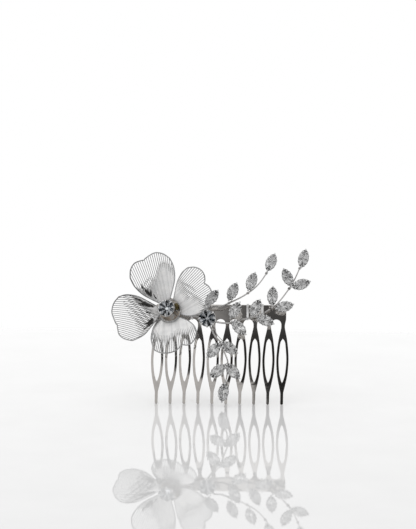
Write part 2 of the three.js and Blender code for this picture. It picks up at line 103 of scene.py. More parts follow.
# For each petal: direction of its notch in degrees and its distance, rise, twist and lean of the
# ribs. Then the edge, reach and share of the full width of each half. Then how much of the length
# is closed sheet at five places across, and up to which reach the ribs are painted darker, as shade.
# Last its streaks, painted dark as a dark reflection in a fold, each from one (reach, aside, half
# width) to another.
PETALS = {
    "petal_left": dict(
        turn=204, notch=19.4, rise=0.42, twist=1.5, lean=-0.1,
        edges=(PETAL_EDGE, NARROW_EDGE), reach=(20.2, 19.9), width=(1.17, 0.95),
        closed=(0.5, 0.36, 0.24, 0.26, 0.45), shaded=12.5,
        streaks=[
            ((4.8, -3.0, 0.35), (8.2, -5.4, 0.9)),
            ((8.2, -5.2, 0.35), (10.2, -6.0, 0.15)),
            ((8.2, -6.2, 0.4), (9.9, -7.9, 0.15)),
            ((6.7, -0.9, 0.3), (7.9, -1.5, 0.15)),
            ((6.6, 1.8, 0.2), (9.6, 3.3, 0.12)),
            ((6.3, 2.6, 0.5), (10.2, 4.9, 0.15)),
        ],
    ),
    "petal_top": dict(
        turn=118.5, notch=19.3, rise=0.3, twist=0.5, lean=-0.2,
        edges=(PETAL_EDGE, PETAL_EDGE), reach=(21.6, 21.3), width=(1.04, 0.9),
        closed=(0.8, 0.88, 0.6, 0.3, 0.34), shaded=9,
        streaks=[
            ((7.4, 3.8, 0.4), (9.2, 4.6, 0.6)),
            ((9.2, 4.6, 0.45), (12.0, 5.5, 0.2)),
            ((8.6, 3.2, 0.12), (9.2, 3.4, 0.1)),
            ((6.1, 2.5, 0.12), (6.6, 2.7, 0.12)),
        ],
    ),
    "petal_right": dict(
        turn=34.5, notch=18.6, rise=0.38, twist=1.0, lean=0.0,
        edges=(ROUND_EDGE, PETAL_EDGE), reach=(18.9, 19.7), width=(1.03, 0.92),
        closed=(0.85, 0.72, 0.5, 0.42, 0.4), shaded=0, streaks=[],
    ),
    "petal_bottom": dict(
        turn=-61, notch=18.3, rise=0.3, twist=-1.6, lean=-0.25,
        edges=(FULL_EDGE, PETAL_EDGE), reach=(17.4, 17.3), width=(1.16, 0.8),
        closed=(0.68, 0.74, 0.66, 0.68, 0.7), shaded=0, streaks=[],
    ),
}
RIM_RADIUS = 0.24
RIB_WIDEST = 16.5  # distance from the flower's centre at which the ribs are one pitch apart
RIB_STEP = 1.0
RIB_CHECK = 0.15  # how finely a rib is tried against its petal's outline
RIB_START = 1.0  # the least distance from the flower's centre that is tried
RIB_SHORTEST = 5  # a rib has more such steps than this
RIB_OVERLAP = 3.0  # how far a rib in front runs down over the closed sheet
RIB_PAST_RIM = 0.1
RIB_SPARE = 6  # ribs tried beyond those that the petal's width holds
WEB_SPARE = 4
# Each layer of ribs fans out from a point so far behind the flower's centre, and its lean is added
# to its petal's. The layer in front runs to the rim and the one behind ends part of the way out.
RIB_LAYERS = [
    dict(fan=24, lean=0.0, pitch=0.8, radius=0.155, lift=0.0, length=1.0, starts_open=True),
    dict(fan=14, lean=0.45, pitch=1.0, radius=0.1, lift=-0.2, length=0.62, starts_open=False),
]
# The closed sheet between two ribs: its height over the petal's own surface, that of its crown over
# its top, and those of its point and underside. Then its steps, the length over which it narrows,
# how ragged its ends are, and the least and most that is closed.
WEB_TOP = 0.13
WEB_CROWN = 0.03
WEB_POINT = 0.02
WEB_UNDER = -0.05
WEB_STEP = 0.5
WEB_TAPER = 2.6
WEB_RAGGED = 0.35
WEB_SHORTEST = 1.0
WEB_MOST = 0.97
# The creases, painted dark as a dark reflection in their folds: heights, half width as a share of
# the ribs' pitch, how sharp their crest is, and the least and most that they run past the streak at
# its start and end.
STREAK_TOP = WEB_TOP + 0.06
STREAK_SIDE = STREAK_TOP - 0.02
STREAK_FOOT = WEB_TOP - 0.1
STREAK_WIDTH = 0.24
STREAK_CREST = 0.4
STREAK_BEFORE = (0.1, 0.6)
STREAK_AFTER = (0.3, 1.6)
STREAK_STEPS = 8
STREAK_BLUNT = 0.2
STREAK_FULL = 0.9
# Profiles under the flower's stone, as radius and height. They start just off the axis.
AXIS_GAP = 0.05
DISH_CENTRE = (0.9, -0.5)
DISH_RADIUS = 4.2
DISH_PROFILE = [(AXIS_GAP, 0.9), (1.4, 0.95), (2.3, 1.35), (3.1, 1.8), (3.8, 2.35), (DISH_RADIUS, 2.6)]
DISH_THICKNESS = 0.22
DISH_LOBES = 8
DISH_WAVE = 0.5
RING_TURNS = 84
RING_SIDES = 8
RING_RADIUS = 0.24
RING_WIRE = 0.09
RING_CLEARANCE = 0.15
RING_HEIGHT = 2.45
WASHER_CENTRE = (3.4, 1.2, 2.35)
WASHER_RADIUS = 1.45
WASHER_SQUASH = 0.3
POST_RADIUS = 1.3
POST_GAP = 0.25
BASE_PROFILE = [
    (AXIS_GAP, -0.8), (1.6, -0.6), (4.4, 0.3), (4.8, 0.62), (4.7, 0.84), (POST_RADIUS, 0.1),
    (AXIS_GAP, 0.1),
]
STONE_HEIGHT = 5.0

# ---- stones and settings ----
# Half the length and width of a stone's outline, the depth of its setting, and its claws.
LEAF = dict(long=3.9, wide=2.05, depth=2.4, claws=12, claw_size=1.0, facets=8, pointed=True)
ROUND = dict(long=3.35, wide=3.35, depth=3.3, claws=8, claw_size=1.25, pointed=False)
ROUND_FACETS = {"flower": 7, "join": 6}
DARK_FACETS = 4  # how many facets of a pointed stone are painted dark, as a dark reflection
STONE_WELD = 0.000001  # in metres
SEAT_INSET = 0.3
GIRDLE = 0.1  # half its height
KEEL_RISE = 0.95  # height of a stone's lower end over the foot of its setting
CROWN_RISE = 0.3
CROWN_SHARE = 0.26  # of the stone's half width
# How far each ring of a stone's cut lies inside its outline, as shares of half its length and width.
TABLE_INSET = (0.44, 0.46)
STAR_INSET = (0.24, 0.27)
STAR_HEIGHT = 0.66  # share of the crown's height
KEEL_INSET = (0.8, 0.85)
CUP_STATIONS = 48
CUP_FOOT_INSET = (0.34, 0.42)
CUP_RIM = 0.1
CUP_SCALLOP = 0.28
# The rings of a cup from its foot to its rim and back down inside: how far each has narrowed, its
# inset in millimetres, and its height as a share of the depth and an offset in millimetres.
CUP_RINGS = [
    (1, 0, -1, 0), (0.7, -0.06, -0.72, 0), (0.3, -0.06, -0.4, 0), (0, 0, 0, CUP_RIM),
    (0, 0.2, 0, CUP_RIM), (0.3, 0.16, -0.4, 0), (0.7, 0.16, -0.7, 0), (1, 0.2, -1, 0.3),
]
CLAW_RISE = 0.45  # height of a CAD cup's rim over the girdle of its stone
CLAW_INSET = 0.06
# A claw from its foot to its tip: how far out of the outline, height and width. Then its
# thickness at both ends and the corners of its section, across and outwards.
CLAW_PATH = [
    (0.0, -0.9, 0.62), (0.1, -0.3, 0.58), (0.1, 0.12, 0.52),
    (-0.12, 0.44, 0.44), (-0.45, 0.66, 0.34), (-0.72, 0.74, 0.2),
]
CLAW_STEP = 0.015  # share of the outline over which a claw's direction is measured
CLAW_THICKNESS = (0.26, 0.16)
CLAW_SECTION = [(-1, -1), (-1, 1), (0, 1.5), (1, 1), (1, -1)]

# ---- sprigs ----
# The stems follow the same points as in the CAD.
STEMS = {
    "sprig_upper": [
        (-11.6, 8.1, 36.2), (-7.5, 7.7, 36.5), (-4.5, 6.7, 36.9), (-1.8, 5.8, 37.7),
        (1.0, 5.6, 37.9), (4.9, 6.3, 39.5), (8.7, 7.4, 41.3), (12.5, 9.0, 43.6),
        (15.7, 10.8, 46.5), (18.6, 13.2, 50.6), (19.4, 14.2, 52.5),
    ],
    "sprig_middle": [
        (-11.6, 7.7, 34.9), (-6.5, 7.3, 33.6), (-1.4, 6.0, 31.5), (4.2, 5.6, 31.1),
        (7.9, 6.0, 32.3), (13.5, 6.9, 33.3), (16.6, 7.3, 34.5), (21.3, 8.4, 37.4),
        (23.7, 9.9, 39.6), (27.4, 13.2, 44.2), (29.3, 14.4, 47.4), (31.3, 15.5, 51.9),
        (32.0, 16.0, 54.0),
    ],
    "sprig_lower": [
        (-11.6, 7.4, 33.5), (-8.5, 7.3, 33.2), (-5.4, 6.3, 32.2), (-3.4, 4.6, 29.6),
        (-1.7, 2.8, 26.6), (0.9, 1.0, 24.0), (1.6, 0.8, 21.7), (3.4, 0.8, 17.0),
        (3.2, 0.3, 14.3), (3.3, -0.9, 12.0), (2.7, -2.7, 9.0), (2.4, -3.0, 7.2),
    ],
}
LEAVES = {"sprig_upper": 4, "sprig_middle": 9, "sprig_lower": 5}
DOUBLED = {"sprig_lower": 0.55}  # the share of a stem that a second wire runs beside
STEM_ROOT_RADIUS = 0.4
STEM_TIP_RADIUS = 0.22
STALK_RADIUS = 0.18
STALK_SPAN = 7  # how many steps of the stem a stalk runs along before it leaves
STALK_INSET = 1.2  # how far in from the end of its setting a stalk arrives
STALK_DEPTH = 0.72  # as a share of the setting's
BEAD_RADIUS = 0.42
BEAD_SQUASH = 0.7
DOUBLED_OFFSET = (0.95, 0, 0.3)
CURVE_PARTS = 10
STALK_PARTS = 6
BINDING_WIRE = 0.11
BINDING_RADIUS = 0.46
BINDING_TURNS = 3
BINDING_PITCH = 0.26
BINDING_SIDES = 14

# ---- binding wire round the bar ----
WRAPS = [
    "wrap_flower_left", "wrap_flower_right", "wrap_join_left",
    "wrap_join_right", "wrap_sprig_inner", "wrap_sprig_outer",
]
WRAP_TURNS = 4
WRAP_WIRE_RADIUS = 0.15
WRAP_CLEARANCE = 0.05
WRAP_REACH = 3.6  # how far in front of the bar a band still takes in a stem
WRAP_DROP = 1.5  # and how far above or below the bar

# ---- camera ----
CAMERA = (33.2, -738.4, 158.9)
CAMERA_PITCH = 8
CAMERA_TURN = 2.9
LENS = 131.34
SENSOR = 36

# ---- surroundings, in metres ----
FLOOR_HALF_WIDTH = 1.4
FLOOR_FRONT = 1.3
FLOOR_BACK = 0.165  # distance of the floor's far edge behind the comb
LIGHT_TARGET = (0, 0, 0.03)
LIGHTS = {
    "softbox_above": dict(place=(-0.1, 0.1, 1.0), size=(1.2, 0.9), watts=2.5),
    "softbox_left": dict(place=(-0.9, -0.3, 0.5), size=(0.5, 0.8), watts=0.4),
}
# The tent round the comb is pale, with a dark gap in front of it. Directions run from -1 to 1: x to
# the right, y away from the camera, z up. A pair is where a change starts and ends, the next two
# numbers are the levels there, and a list holds places with the value at each.
TENT_UP = (0, 0.6, 0.68, 1.0)
TENT_RIGHT = (-1, 1, 1.0, 0.8)
TENT_BEHIND = (0.5, 0.8)
GAP_LEFT = [(0.23, 0.0245), (0.245, 0.041), (0.33, 0.061), (0.41, 0.061), (0.44, 0.2)]
GAP_BLUR = 0.004
GAP_RIGHT = (0.22, 0.32)
GAP_BACK = (-0.5, -0.3)
GAP_TOP = (0.6, 0.75)
TEETH_TOP = (0.38, 0.44, 0.03, 0.07)
BAR_FROM = (0.44, 0.48)
BAR_ACROSS = (-0.075, -0.005)
BAR_LEVEL = [(0, 0.75), (0.3, 0.45), (0.52, 0.22), (0.7, 0.12), (1, 0.07)]


def comb_origin():
    """Where the comb's own coordinates start in the frame."""
    low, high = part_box("comb_plate")
    return Vector(((low.x + high.x) / 2 / MM, low.y / MM + PLATE_THICKNESS / 2, 0))


ORIGIN = comb_origin()


def at(x, y, z):
    return ORIGIN + Vector((x, y, z))


def mix(a, b, share):
    return a + (b - a) * share


def clamp(value, low, high):
    return min(high, max(low, value))


def smoothstep(share):
    share = clamp(share, 0, 1)
    return share * share * (3 - 2 * share)


def frame_at(centre, right, facing):
    """The frame with its X to the right and its Z along facing."""
    matrix = Matrix((right, facing.cross(right), facing)).transposed().to_4x4()
    matrix.translation = centre
    return matrix


def repeated(value, count):
    """The given list, or a single value as many times as asked."""
    return value if isinstance(value, list) else [value] * count


def circle_steps(count):
    """The cosine and sine of equal steps round a circle."""
    angles = [2 * math.pi * k / count for k in range(count)]
    return [(math.cos(angle), math.sin(angle)) for angle in angles]


def new_object(name, data):
    thing = bpy.data.objects.new(name, data)
    bpy.context.scene.collection.objects.link(thing)
    return thing


# ---- mesh helpers ----

BALL_RINGS = 6
BALL_SIDES = 10


class Shape:
    """The points and faces of one piece, each face with the number of its material."""

    def __init__(self):
        self.points = []
        self.faces = []
        self.finishes = []

    def add(self, points, faces, finish=0):
        start = len(self.points)
        self.points.extend(points)
        self.faces.extend(tuple(start + i for i in face) for face in faces)
        self.finishes.extend(repeated(finish, len(faces)))

    def loft(self, rings, finish=0, capped=True):
        """A skin over closed rings of equal length, as a rule with a flat cap at each end.

        The finish is one number, or one for each ring.
        """
        count = len(rings[0])
        finishes = repeated(finish, len(rings))
        faces = []
        face_finishes = []
        for r in range(len(rings) - 1):
            for i in range(count):
                a = r * count + i
                b = r * count + (i + 1) % count
                faces.append((a, b, b + count, a + count))
                face_finishes.append(finishes[r])
        if capped:
            last = len(rings) * count
            faces += [tuple(reversed(range(count))), tuple(range(last - count, last))]
            face_finishes += [finishes[0], finishes[-1]]
        self.add([p for ring in rings for p in ring], faces, face_finishes)

    def tube(self, path, radius, sides=8, finish=0):
        """A round wire along a path. The radius is one number, or one for each point."""
        radii = repeated(radius, len(path))
        rings = []
        across = None
        for i, point in enumerate(path):
            ahead = path[min(i + 1, len(path) - 1)] - path[max(i - 1, 0)]
            ahead.normalize()
            if across is None:
                across = ahead.orthogonal()
            across = (across - ahead * across.dot(ahead)).normalized()
            side = ahead.cross(across)
            rings.append([
                point + radii[i] * (c * across + s * side) for c, s in circle_steps(sides)
            ])
        self.loft(rings, finish)

    def ball(self, centre, radius, finish=0, squash=1.0, axis=Vector((0, 0, 1))):
        """A small rounded bead, flattened along an axis."""
        turn = axis.to_track_quat("Z", "Y").to_matrix()
        rings = []
        for r in range(1, BALL_RINGS):
            angle = math.pi * r / BALL_RINGS
            wide = radius * math.sin(angle)
            high = -radius * math.cos(angle) * squash
            rings.append([
                centre + turn @ Vector((wide * c, wide * s, high)) for c, s in circle_steps(BALL_SIDES)
            ])
        self.loft(rings, finish)


def make_piece(name, shape, materials, node, smooth_angle=40):
    """Turns a shape into a piece of the object that stands for a CAD node."""
    mesh = bpy.data.meshes.new(name)
    mesh.from_pydata([p * MM for p in shape.points], [], shape.faces)
    for material in materials:
        mesh.materials.append(material)
    mesh.polygons.foreach_set("material_index", shape.finishes)
    return finish_piece(name, mesh, node, smooth_angle)


def edit(mesh, change):
    """Opens a mesh, changes it and writes it back."""
    work = bmesh.new()
    work.from_mesh(mesh)
    change(work)
    work.to_mesh(mesh)
    work.free()


def face_outwards(work):
    bmesh.ops.recalc_face_normals(work, faces=work.faces)


def finish_piece(name, mesh, node, smooth_angle):
    mesh.validate()
    edit(mesh, face_outwards)
    if smooth_angle:
        mesh.polygons.foreach_set("use_smooth", [True] * len(mesh.polygons))
        mesh.set_sharp_from_angle(angle=math.radians(smooth_angle))
    piece = new_object(name, mesh)
    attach(piece, "root")
    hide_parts(node)
    return piece


def cubic(a, b, c, d, t):
    """A place from b, at t = 0, to c, at t = 1, on the smooth curve through a, b, c and d."""
    bend = (a * 2 - b * 5 + c * 4 - d) * t * t + (b * 3 - a - c * 3 + d) * t * t * t
    return b + ((c - a) * t + bend) / 2


def curve_through(points, parts=CURVE_PARTS):
    """Points along a smooth curve through the given points, with so many parts to each span."""
    ends = [points[0] * 2 - points[1], *points, points[-1] * 2 - points[-2]]
    path = []
    for i in range(len(points) - 1):
        path += [cubic(*ends[i:i + 4], k / parts) for k in range(parts)]
    return path + [points[-1]]


def spline(points, share):
    """A point on a smooth curve through flat points, at a share of its spans."""
    place = (len(points) - 1) * share
    i = min(int(place), len(points) - 2)
    near = [points[clamp(i + step, 0, len(points) - 1)] for step in (-1, 0, 1, 2)]
    return tuple(cubic(*values, place - i) for values in zip(*near))


# ---- materials ----

class Nodes:
    """Adds shader nodes to a tree."""

    def __init__(self, tree):
        self.tree = tree

    def add(self, kind, **inputs):
        return self.fill(self.tree.nodes.new(kind), **inputs)

    def fill(self, node, **inputs):
        for name, value in inputs.items():
            self.set(node, name.replace("_", " "), value)
        return node

    def set(self, node, name, value):
        if isinstance(value, bpy.types.NodeSocket):
            self.tree.links.new(value, node.inputs[name])
        else:
            node.inputs[name].default_value = value

    def coordinates(self, kind):
        return self.add("ShaderNodeTexCoord").outputs[kind]

    def noise(self, scale, detail=4.0, stretch=(1, 1, 1)):
        place = self.add("ShaderNodeMapping", Vector=self.coordinates("Object"), Scale=stretch)
        node = self.add(
            "ShaderNodeTexNoise", Vector=place.outputs["Vector"], Scale=scale, Detail=detail
        )
        return node.outputs["Fac"]

    def calc(self, operation, a, b):
        node = self.add("ShaderNodeMath")
        node.operation = operation
        self.set(node, 0, a)
        self.set(node, 1, b)
        return node.outputs[0]

    def span(self, value, start, end, low, high):
        """A value that runs from low to high as the given value runs from start to end."""
        node = self.add(
            "ShaderNodeMapRange", Value=value, From_Min=start, From_Max=end, To_Min=low, To_Max=high
        )
        return node.outputs["Result"]

    def blend(self, share, a, b):
        node = self.add("ShaderNodeMix", Factor=share, A=a, B=b)
        return node.outputs["Result"]

    def ramp(self, value, stops):
        node = self.add("ShaderNodeValToRGB", Fac=value)
        elements = node.color_ramp.elements
        while len(elements) < len(stops):
            elements.new(0.5)
        for element, (place, colour) in zip(elements, stops):
            element.position = place
            element.color = (*colour, 1)
        return node.outputs["Color"]

    def steps(self, value, stops):
        """A value that follows straight lines through the given stops."""
        return self.ramp(value, [(place, (level,) * 3) for place, level in stops])


def new_material(name):
    material = bpy.data.materials.new(name)
    material.use_nodes = True
    nodes = Nodes(material.node_tree)
    return material, nodes, material.node_tree.nodes["Principled BSDF"]


def roughen(nodes, shader, *layers):
    """Uneven surface from layers of height, strength and distance in millimetres."""
    below = {}
    for height, strength, distance in layers:
        bump = nodes.add("ShaderNodeBump", Height=height, Strength=strength, **below)
        nodes.set(bump, "Distance", distance * MM)
        below = {"Normal": bump.outputs["Normal"]}
    nodes.fill(shader, **below)


def metal(name, dark, light, roughness, grain=(1, 1, 1), scratch=0.25, wave=0.0):
    """Plated metal: cloudy colour, roughness that varies, fine scratches and a slight wave."""
    material, nodes, shader = new_material(name)
    clouds = nodes.noise(420, detail=5)
    scratches = nodes.noise(2600, detail=3, stretch=grain)
    waves = nodes.noise(110, detail=1)
    colour = nodes.ramp(clouds, [(0.35, dark), (0.65, light)])
    polish = nodes.span(scratches, 0.3, 0.7, *roughness)
    nodes.fill(shader, Base_Color=colour, Roughness=polish, Metallic=1.0)
    roughen(nodes, shader, (scratches, scratch, 0.02), (waves, 1.0, wave))
    return material


def crystal(name, tint, roughness):
    """Cut glass with faint polishing marks."""
    material, nodes, shader = new_material(name)
    marks = nodes.noise(1800, detail=2)
    shades = [(0.3, tuple(0.94 * c for c in tint)), (0.7, tint)]
    colour = nodes.ramp(nodes.noise(260), shades)
    polish = nodes.span(marks, 0.3, 0.7, *roughness)
    nodes.fill(shader, Base_Color=colour, Roughness=polish, Transmission_Weight=1.0, IOR=1.36)
    roughen(nodes, shader, (marks, 0.04, 0.01))
    return material


def white_floor():
    """Glossy white acrylic, which mirrors more the flatter it is seen."""
    material, nodes, shader = new_material("floor_acrylic")
    nodes.tree.nodes.remove(shader)
    white = nodes.ramp(nodes.noise(40), [(0.3, grey(0.51)), (0.7, grey(0.53))])
    matt = nodes.add("ShaderNodeBsdfDiffuse", Color=white)
    mirrored = nodes.add("ShaderNodeFresnel", IOR=2.6).outputs[0]
    gloss = nodes.add("ShaderNodeBsdfAnisotropic", Color=mirrored, Roughness=0.02)
    both = nodes.add("ShaderNodeAddShader")
    nodes.set(both, 0, matt.outputs[0])
    nodes.set(both, 1, gloss.outputs[0])
    nodes.set(nodes.tree.nodes["Material Output"], "Surface", both.outputs[0])
    return material


def grey(level, warmth=0.0):
    """A grey of a given level, made warmer or, below zero, cooler."""
    return (level * (1 + warmth), level, level * (1 - warmth))


COMB_METAL = metal(
    "comb_metal", grey(0.5, 0.045), grey(0.56, 0.045), (0.02, 0.05), (0.3, 1, 1), 0.03, 0.015
)
SHEET_METAL = metal("petal_sheet_metal", grey(0.76), grey(0.84, 0.01), (0.26, 0.4), scratch=0.1)
SHEET_SHADE = metal("petal_sheet_shade", grey(0.68), grey(0.76, 0.01), (0.26, 0.4), scratch=0.1)
# The ribs and rim are painted darker than the sheet they are part of, as shade; the second rib metal
# is deeper painted shade near a petal's base.
RIB_PAINTED_SHADE_METAL = metal("petal_rib_painted_shade", grey(0.35), grey(0.47), (0.2, 0.35))
RIB_SHADE = metal("petal_rib_shade", grey(0.1), grey(0.22, 0.03), (0.2, 0.35))
# Painted dark reflection on the petals' creased streaks.
FOLD_PAINTED_DARK_REFLECTION_METAL = metal("petal_fold_painted_dark_reflection", grey(0.02), grey(0.06, 0.05), (0.15, 0.3))
CLAW_METAL = metal("setting_metal", grey(0.62), grey(0.78), (0.14, 0.28))
WIRE_METAL = metal("wire_metal", grey(0.42, 0.02), grey(0.56, 0.02), (0.12, 0.25), (1, 1, 0.4))
BAND_METAL = metal("binding_metal", grey(0.66), grey(0.84), (0.14, 0.28), (1, 1, 0.4))
AGED_BRASS = metal("aged_brass", (0.54, 0.48, 0.42), (0.88, 0.8, 0.72), (0.28, 0.45), wave=0.05)
DARK_BRASS = metal("dark_brass", (0.03, 0.024, 0.01), (0.13, 0.105, 0.05), (0.15, 0.3), wave=0.05)
CLEAR_STONE = crystal("clear_crystal", (0.99, 0.99, 0.99), (0.0, 0.05))
BLUE_STONE = crystal("blue_crystal", (0.93, 0.96, 1.0), (0.0, 0.04))
FOIL = metal("stone_foil", grey(0.88), grey(0.96), (0.2, 0.35), scratch=0.1)
# Foils painted dark and grey on some facets, standing in for the stones' reflection of the dark
# surroundings.
FOIL_PAINTED_DARK_REFLECTION = metal("stone_foil_painted_dark_reflection", grey(0.03, -0.2), grey(0.13, -0.2), (0.05, 0.14), scratch=0.1)
FOIL_PAINTED_GREY_REFLECTION = metal("stone_foil_painted_grey_reflection", grey(0.36), grey(0.66), (0.1, 0.25), scratch=0.1)


# ---- comb plate ----

def back_of(height):
    return BEND_SLOPE * height + BEND_CURVE * height * height


def tooth_x(index):
    return (index - (TEETH - 1) / 2) * TOOTH_PITCH


def dome(x, height):
    """How far back a point lies because each tooth is pressed into a slight dome."""
    nearest = tooth_x(clamp(round(x / TOOTH_PITCH + (TEETH - 1) / 2), 0, TEETH - 1))
    eye_top = EYE_SIDE[-1][1]
    fade = 1 - smoothstep((height - eye_top) / (NECK_TOP - eye_top))
    return TOOTH_DOME * fade * (x - nearest) ** 2


def arc(centre, radius, start, end, steps):
    """Points on an arc between two angles, both ends included."""
    angles = [mix(start, end, k / steps) for k in range(steps + 1)]
    return [(centre[0] + radius * math.cos(a), centre[1] + radius * math.sin(a)) for a in angles]


def tooth_side():
    """One side of a tooth from its tip to the top of its neck, as distance and height."""
    points = arc((0, TIP_HALF_WIDTH), TIP_HALF_WIDTH, -math.pi / 2, 0, TIP_STEPS)[1:-1]
    points += [spline(TOOTH_SIDE, k / SIDE_STEPS) for k in range(SIDE_STEPS + 1)]
    return points + [(NECK_HALF_WIDTH, NECK_TOP)]


def comb_outline():
    side = tooth_side()
    outline = []
    for tooth in range(TEETH):
        x = tooth_x(tooth)
        outline += [(x - aside, height) for aside, height in reversed(side)]
        outline += [(x + aside, height) for aside, height in side]
        if tooth < TEETH - 1:
            centre = (x + TOOTH_PITCH / 2, NECK_TOP)
            outline += arc(centre, ARCH_RADIUS, math.pi, 0, ARCH_STEPS)[1:-1]
    return outline + bar_end(1) + list(reversed(bar_end(-1)))


def bar_end(sign):
    """The end of the bar and its rounded upper corner, from below."""
    end = tooth_x(TEETH - 1) + BAR_OVERHANG
    corner = (end - BAR_CORNER, BAR_TOP - BAR_CORNER)
    points = [(end, BAR_FOOT)] + arc(corner, BAR_CORNER, 0, math.pi / 2, CORNER_STEPS)
    return [(sign * x, height) for x, height in points]


def eye_outline(x):
    side = [spline(EYE_SIDE, k / EYE_STEPS) for k in range(EYE_STEPS + 1)]
    right = [(x + aside, height) for aside, height in side]
    left = [(x - aside, height) for aside, height in side[1:-1]]
    return list(reversed(right)) + left


def filled_plate(loops):
    """A flat plate with rounded edges, from one outline and its holes."""
    curve = bpy.data.curves.new("comb_outline", "CURVE")
    curve.dimensions = "2D"
    curve.fill_mode = "BOTH"
    curve.extrude = PLATE_THICKNESS / 2 - EDGE_ROUND
    curve.bevel_depth = EDGE_ROUND
    curve.bevel_resolution = 2
    curve.offset = -EDGE_ROUND
    for loop in loops:
        line = curve.splines.new("POLY")
        line.points.add(len(loop) - 1)
        for point, (x, y) in zip(line.points, loop):
            point.co = (x, y, 0, 1)
        line.use_cyclic_u = True
    holder = new_object("comb_outline", curve)
    graph = bpy.context.evaluated_depsgraph_get()
    mesh = bpy.data.meshes.new_from_object(holder.evaluated_get(graph))
    bpy.data.objects.remove(holder)
    bpy.data.curves.remove(curve)
    return mesh


def bend_plate(work):
    """Cuts the flat plate into strips and bends it to its curve."""
    bmesh.ops.remove_doubles(work, verts=work.verts, dist=PLATE_WELD)
    height = BEND_STEP
    while height < BAR_TOP:
        everything = work.verts[:] + work.edges[:] + work.faces[:]
        bmesh.ops.bisect_plane(
            work, geom=everything, dist=BEND_SNAP, plane_co=(0, height, 0), plane_no=(0, 1, 0)
        )
        height += BEND_STEP
    for vertex in work.verts:
        x, z, out = vertex.co
        vertex.co = at(x + PLATE_LEAN * z, back_of(z) + dome(x, z) - out, z) * MM


def comb_plate():
    mesh = filled_plate([comb_outline()] + [eye_outline(tooth_x(i)) for i in range(TEETH)])
    edit(mesh, bend_plate)
    mesh.materials.clear()
    mesh.materials.append(COMB_METAL)
    finish_piece("stamped_comb", mesh, "comb_plate", 10)


# ---- flower ----

def flower_frame():
    turn = math.radians(FLOWER_TURN)
    lift = math.radians(FLOWER_RAISE)
    facing = Vector((
        -math.sin(turn) * math.cos(lift), -math.cos(turn) * math.cos(lift), math.sin(lift),
    ))
    return frame_at(at(*FLOWER_CENTRE), Vector((math.cos(turn), -math.sin(turn), 0)), facing)


FLOWER = flower_frame()


def petal_plan(petal, column, row):
    """A place on a petal seen face on, as reach and aside. Columns run from -1 to 1."""
    side = 0 if column < 0 else 1
    across = abs(column)
    lobe = PETAL_LOBE + [(petal["notch"], 0)]
    rim_out, rim_aside = spline(lobe, 1 - across)
    edge_out, edge_aside = spline(petal["edges"][side], row)
    base, corner = PETAL_EDGE[0], PETAL_LOBE[0]
    out = mix(base[0], rim_out, row) + across * (edge_out - mix(base[0], corner[0], row))
    reach = out * mix(1, petal["reach"][side] / PETAL_REACH, row)
    wide = row * rim_aside + across * (edge_aside - row * corner[1])
    return reach, wide * petal["width"][side] * (-1 if side == 0 else 1)


def petal_place(petal, reach, aside, lift=0.0):
    """The point of a petal over a place in its plan."""
    base = PETAL_EDGE[0][0]
    row = clamp((reach - base) / (petal["notch"] - base), 0, 1)
    share = aside / PETAL_HALF_WIDTH
    bowl = PETAL_CURL * share * share + petal["twist"] * share * row
    height = PETAL_SEAT + petal["rise"] * reach + bowl + lift
    turn = math.radians(petal["turn"])
    return FLOWER @ Vector((
        reach * math.cos(turn) - aside * math.sin(turn),
        reach * math.sin(turn) + aside * math.cos(turn),
        height,
    ))


def petal_ring(petal, reach, spots):
    """Points across a petal at one reach, each from its distance aside and its height."""
    return [petal_place(petal, reach, aside, lift) for aside, lift in spots]


def petal_outline(petal):
    """The petal's outline in its plan, from its base round both lobes and back."""
    shares = [k / PETAL_STEPS for k in range(PETAL_STEPS)]
    left = [petal_plan(petal, -1, share) for share in shares]
    left += [petal_plan(petal, share - 1, 1) for share in shares]
    right = [petal_plan(petal, share, 1) for share in shares[1:]]
    right += [petal_plan(petal, 1, 1 - share) for share in shares + [1]]
    return left + right


def crossings(outline, axis, value):
    """Where the outline crosses a line of equal reach, axis 0, or of equal aside, axis 1."""
    found = []
    for start, end in zip(outline, outline[1:] + outline[:1]):
        if (start[axis] > value) != (end[axis] > value):
            share = (value - start[axis]) / (end[axis] - start[axis])
            found.append(mix(start[1 - axis], end[1 - axis], share))
    return found


def inside(outline, reach, aside):
    return sum(reach < crossing for crossing in crossings(outline, 1, aside)) % 2 == 1


def side_limits(outline, reach):
    """How far the outline reaches to either side at a reach."""
    found = crossings(outline, 0, reach) or [0]
    return min(found), max(found)


def rib_aside(petal, layer, number, reach):
    """Where a rib of a layer is at a reach. Numbers between two ribs are in the gap."""
    spread = (reach + layer["fan"]) / (RIB_WIDEST + layer["fan"])
    lean = (petal["lean"] + layer["lean"]) * (reach - RIB_WIDEST / 2)
    return number * layer["pitch"] * spread + lean


def rib_span(petal, outline, layer, number):
    """The first and last reach at which a rib lies inside the outline."""
    first = int(RIB_START / RIB_CHECK)
    last = int((max(petal["reach"]) + 1) / RIB_CHECK)
    found = []
    for reach in (k * RIB_CHECK for k in range(first, last)):
        if inside(outline, reach, rib_aside(petal, layer, number, reach)):
            found.append(reach)
    return (found[0], found[-1]) if len(found) > RIB_SHORTEST else None


def closed_end(petal, span, layer, number):
    """The reach at which the closed sheet between two ribs opens."""
    across = rib_aside(petal, layer, number, (span[0] + span[1]) / 2) / PETAL_HALF_WIDTH
    closed = petal["closed"]
    place = (clamp(across, -1, 1) + 1) / 2 * (len(closed) - 1)
    i = min(int(place), len(closed) - 2)
    share = mix(closed[i], closed[i + 1], smoothstep(place - i))
    return mix(span[0], span[1], min(WEB_MOST, share)) + random.uniform(-WEB_RAGGED, WEB_RAGGED)


